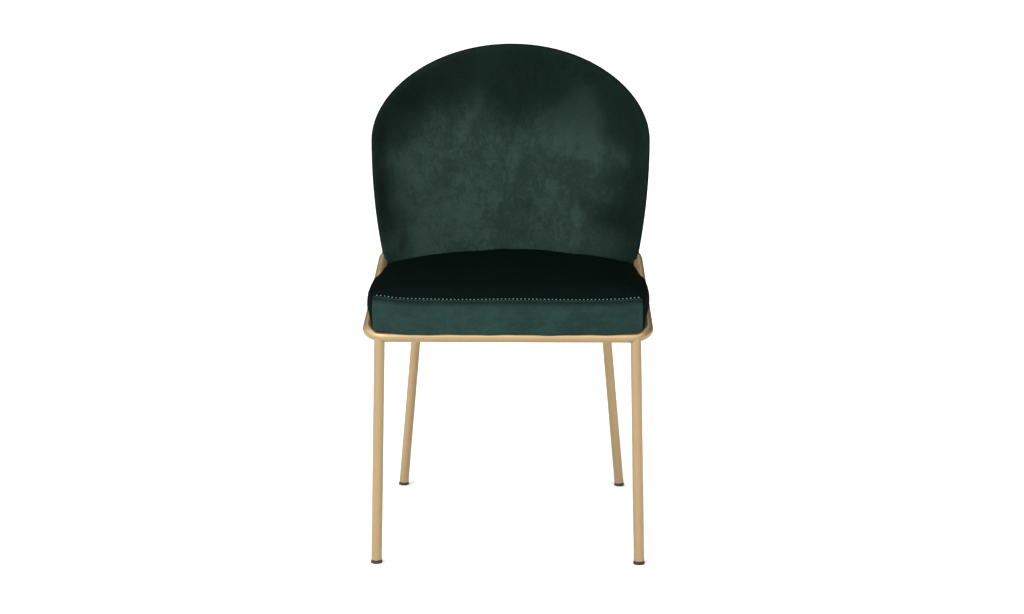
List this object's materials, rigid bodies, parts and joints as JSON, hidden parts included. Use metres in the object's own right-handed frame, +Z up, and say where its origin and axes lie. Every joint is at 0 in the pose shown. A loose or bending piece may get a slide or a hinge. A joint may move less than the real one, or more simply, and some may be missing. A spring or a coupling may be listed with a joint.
{
  "type": "dining chair",
  "caption": "Upholstered dining chair: curved petal-shaped velvet back and boxed cushion on a sloping round-tube ring with splayed tube legs.",
  "frame": {"origin": "on the floor, under the middle of the chair's overall box", "axes": "+Z up, the chair's front faces -Y, +X to the right of someone facing the chair; the chair mirrors about the X = 0 plane"},
  "size_m": [0.5, 0.522, 0.8477],
  "materials": {
    "frame_tube": "satin champagne-gold lacquer over steel tube",
    "foot_cap": "moulded, fine matte texture",
    "under_seat_steel": "black powder coat",
    "fixing": "bright zinc plate",
    "velvet": "short-pile dark green velvet",
    "piping": "dark green velvet piping",
    "foam": "open-cell polyurethane foam",
    "wadding": "white polyester wadding",
    "plywood": "raw birch plywood",
    "dust_cloth": "black spun-bonded cloth"
  },
  "bodies": {
    "root": {"ring_front": "frame_tube", "ring_rear": "frame_tube", "front_leg_left": "frame_tube", "front_leg_right": "frame_tube", "rear_leg_left": "frame_tube", "rear_leg_right": "frame_tube", "foot_cap_front_left": "foot_cap", "foot_cap_front_right": "foot_cap", "foot_cap_rear_left": "foot_cap", "foot_cap_rear_right": "foot_cap", "rear_cross_rail": "frame_tube", "seat_bearer_left": "under_seat_steel", "seat_bearer_right": "under_seat_steel", "seat_board": "plywood", "seat_tee_nuts": "fixing", "seat_screws": "fixing", "seat_washers": "fixing", "seat_foam": "foam", "seat_wadding": "wadding", "seat_top_cover": "velvet", "seat_boxing_cover": "velvet", "dust_cover": "dust_cloth", "dust_cover_staples": "fixing", "back_shell": "plywood", "back_front_foam": "foam", "back_front_cover": "velvet", "back_rear_wadding": "wadding", "back_rear_cover": "velvet", "back_edge_welt": "piping", "back_bracket_left": "under_seat_steel", "back_bracket_right": "under_seat_steel", "back_screws": "fixing", "back_tee_nuts": "fixing"}
  },
  "joints": []
}
